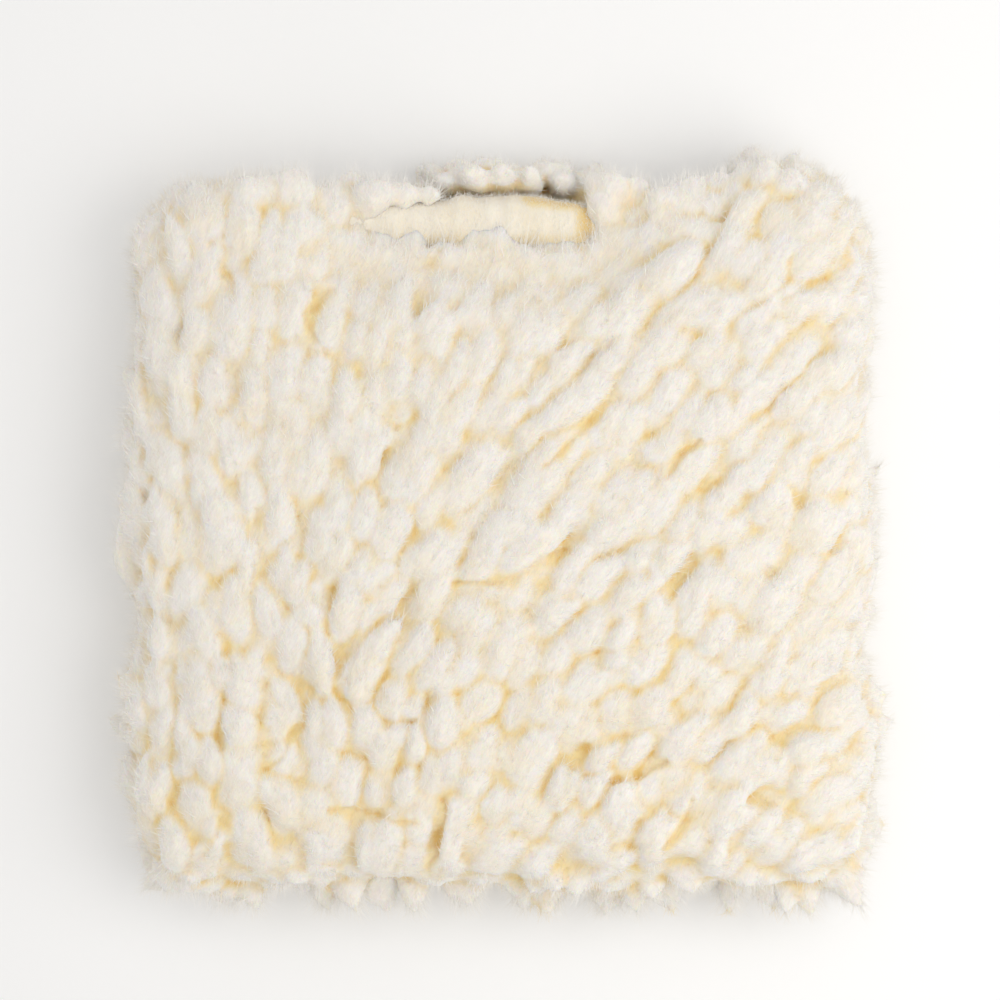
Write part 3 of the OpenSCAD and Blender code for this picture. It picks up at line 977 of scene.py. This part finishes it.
def hem_material():
    """Brushed cream cloth with a soft nap, darker with painted shade beside the wool, in its tuck and along
    its lip.
    """
    m = Nodes("brushed_cloth")
    nap = m.noise(FIBRE_GRAIN, 0.65, m.mapped(m.place, Scale=(1.0, 0.4, 1.0)))
    broad = m.math("ADD", m.noise(75.0), m.centred(nap, 0.5))
    colour = m.mix(m.ramp(broad, 0.3, 0.7), HEM_DARK, HEM_LIGHT)
    # Painted shade: honey where the wool overhangs, honey to ochre in the tuck and along the lip's shadow
    # line
    edge = m.math("ADD", m.attribute("beside_wool"), m.centred(nap, 0.8))
    colour = m.mix(m.ramp(edge, 0.3, 1.0, 0.0, 0.7), colour, HONEY)
    tuck = m.math("ADD", m.attribute("tuck"), m.centred(nap, 0.5))
    colour = m.mix(m.ramp(tuck, 0.1, 0.7, 0.0, 0.9), colour, HONEY)
    m.set(Base_Color=m.mix(m.ramp(tuck, 0.5, 1.2, 0.0, 0.9), colour, OCHRE))
    m.woolly(nap, 0.1, 1.0 * MM)
    return m.material


def elastic_material():
    """Ribbed elastic tape."""
    m = Nodes("elastic")
    ribs = m.bands("Y", 320.0)
    m.set(Base_Color=m.mix(ribs, ELASTIC_DARK, ELASTIC_LIGHT))
    m.bump(ribs, 0.25 * MM)
    m.set(Roughness=0.7, Sheen_Weight=0.1)
    return m.material


def thread_material():
    """Twisted sewing thread."""
    m = Nodes("thread")
    twist = m.bands("X", 900.0, place=m.mapped(m.place, Rotation=(0.6, 0.6, 0.6)))
    m.set(Base_Color=m.mix(twist, THREAD_DARK, THREAD_LIGHT))
    m.bump(twist, 0.15 * MM)
    m.set(Roughness=0.75, Sheen_Weight=0.15)
    return m.material


# ---------------- stage
VIEW_WIDTH = 0.309  # width that the view takes in, at the height of the seam
AIM_PAST_MIDDLE = 0.0102  # how far the view's centre is past the mitt's, towards the mouth
FLOOR_HALF = 3.0  # half the floor's side
SKY = 0.72  # strength of the even light from all round


def make_camera():
    data = bpy.data.cameras.new("camera")
    data.lens = 85
    data.sensor_width = 36
    data.clip_start = 0.01
    camera = in_scene("camera", data)
    distance = VIEW_WIDTH * data.lens / data.sensor_width
    camera.location = (0, AIM_PAST_MIDDLE, SEAM_Z + distance)
    bpy.context.scene.camera = camera


def make_light(name, place, size, power, colour=(1, 1, 1)):
    """A round soft light that points at the origin."""
    data = bpy.data.lights.new(name, "AREA")
    data.shape = "DISK"
    data.size = size
    data.energy = power
    data.color = colour
    light = in_scene(name, data)
    light.location = place
    light.rotation_euler = (-Vector(place)).to_track_quat("-Z", "Y").to_euler()


def make_stage():
    floor = mesh_object("floor", FLOOR_HALF * np.insert(SQUARE, 2, 0, axis=1), [(0, 1, 2, 3)])
    m = Nodes("paper")
    m.set(Base_Color=m.mix(m.noise(3.0), (0.95, 0.95, 0.95), (0.97, 0.97, 0.97)))
    m.set(Roughness=0.9)
    floor.data.materials.append(m.material)
    world = bpy.data.worlds.new("studio")
    world.use_nodes = True
    sky = world.node_tree.nodes["Background"]
    sky.inputs["Color"].default_value = (1.0, 0.99, 0.975, 1.0)
    sky.inputs["Strength"].default_value = SKY
    bpy.context.scene.world = world
    make_light("key", (0.32, -0.05, 0.48), 0.5, 1.0, (1.0, 0.985, 0.96))
    make_light("fill", (0.1, 0.1, 0.9), 1.0, 1.0)
    bpy.context.scene.view_settings.view_transform = "Standard"


# ---------------- building the pieces
# Each kind of fibre: how many on the front panel, length, half width
FIBRES = ((160000, 2.8 * MM, 0.05 * MM), (26000, 3.5 * MM, 0.12 * MM))
BACK_FIBRES = 0.5  # the back panel's share of them
# The golden fibres over hollows are partly the wool's warmer depth, partly painted shade
GAP_FROM = 0.35  # hollows from here on have golden fibres
NAP_COUNT, NAP_LENGTH = 30000, 1.5 * MM
NAP_HALF_WIDTH = 0.05 * MM
LINING_T, BACKING_T = 0.7 * MM, 1.0 * MM
EDGE_Y = LIP_Y - 7.2 * MM  # where the lining and the backing end inside the hem


def settle(piece, material, node):
    """Gives a piece its material, hangs it under the root body and hides the CAD node that it stands for."""
    piece.data.materials.append(material)
    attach(piece, "root")
    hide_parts(node)


def build_wool(panel, side, seed, extra_locks, materials):
    """One panel's wool: its skin, and its loose fibres in two colours."""
    extra = extra_locks(np.random.default_rng(80 + seed))
    rng = np.random.default_rng(90 + seed)
    field = [forked(field_locks(side, seed + step, sink), rng) for step, sink in LAYERS]
    locks = merged([*field, rim_locks(side, 20 + seed), extra])
    skin, heading, hollow = make_pile(panel + "_wool", side, locks, seed)
    share = 1.0 if side == FRONT else BACK_FIBRES
    kinds = [
        make_spikes(skin, heading, hollow, int(share * count), length, half_width, 70 + seed)
        for count, length, half_width in FIBRES
    ]
    spikes, under = (np.concatenate(parts) for parts in zip(*kinds))
    tips = spike_object(panel + "_fuzz_tips", spikes[under <= GAP_FROM])
    gaps = spike_object(panel + "_fuzz_gaps", spikes[under > GAP_FROM])
    for piece, material in zip((skin, tips, gaps), materials):
        settle(piece, material, panel + "_pile")


def build_cloth(panel, side, seed, lining_cloth, knit_cloth, hem_cloth, nap_fibre):
    """One panel's lining, backing and hem, with the hem's nap."""
    lining_r, backing_r = R_LINING - 0.4 * MM, R_BACKING - 0.6 * MM
    lining = cloth_panel(panel + "_lining_cloth", side, lining_r, LINING_T, EDGE_Y, 0.35 * MM, seed)
    backing = cloth_panel(panel + "_backing_knit", side, backing_r, BACKING_T, EDGE_Y, 0.0, seed)
    hem = make_hem(panel + "_hem", side, 10 + seed)
    along_lip = np.tile((0.0, 0.8, 0.0), (len(hem.data.vertices), 1))
    flat = np.zeros(len(along_lip))
    nap, _ = make_spikes(hem, along_lip, flat, NAP_COUNT, NAP_LENGTH, NAP_HALF_WIDTH, 60 + seed)
    nap = nap[side * (nap[:, 0, 2] - SEAM_Z) > 0.5 * R_HEM]
    hem_nap = spike_object(panel + "_hem_nap", nap)
    settle(lining, lining_cloth, panel + "_lining")
    settle(backing, knit_cloth, panel + "_backing")
    settle(hem, hem_cloth, panel + "_mouth_hem")
    settle(hem_nap, nap_fibre, panel + "_mouth_hem")


def dress(node, material):
    """Gives a CAD node that stays in view its material."""
    materials = bpy.data.objects[node].data.materials
    materials.clear()
    materials.append(material)


make_camera()
make_stage()
tip_fibre = fibre_material("white_fibre", TIP_FIBRE)
wool_materials = (wool_material(), tip_fibre, fibre_material("gold_fibre", GAP_FIBRE))
build_wool("front", FRONT, 1, lip_cover_locks, wool_materials)
build_wool("back", BACK, 2, behind_lip_locks, wool_materials)
cloths = (
    cloth_material("lining_cloth", LINING_DARK, LINING_LIGHT, 0.7 * MM, 0.12 * MM),
    cloth_material("knit_cloth", KNIT_DARK, KNIT_LIGHT, 1.1 * MM, 0.3 * MM),
    hem_material(),
    tip_fibre,
)
build_cloth("front", FRONT, 5, *cloths)
build_cloth("back", BACK, 6, *cloths)
thread = thread_material()
dress("mouth_elastic", elastic_material())
dress("side_seam_stitches", thread)
dress("hem_stitches", thread)
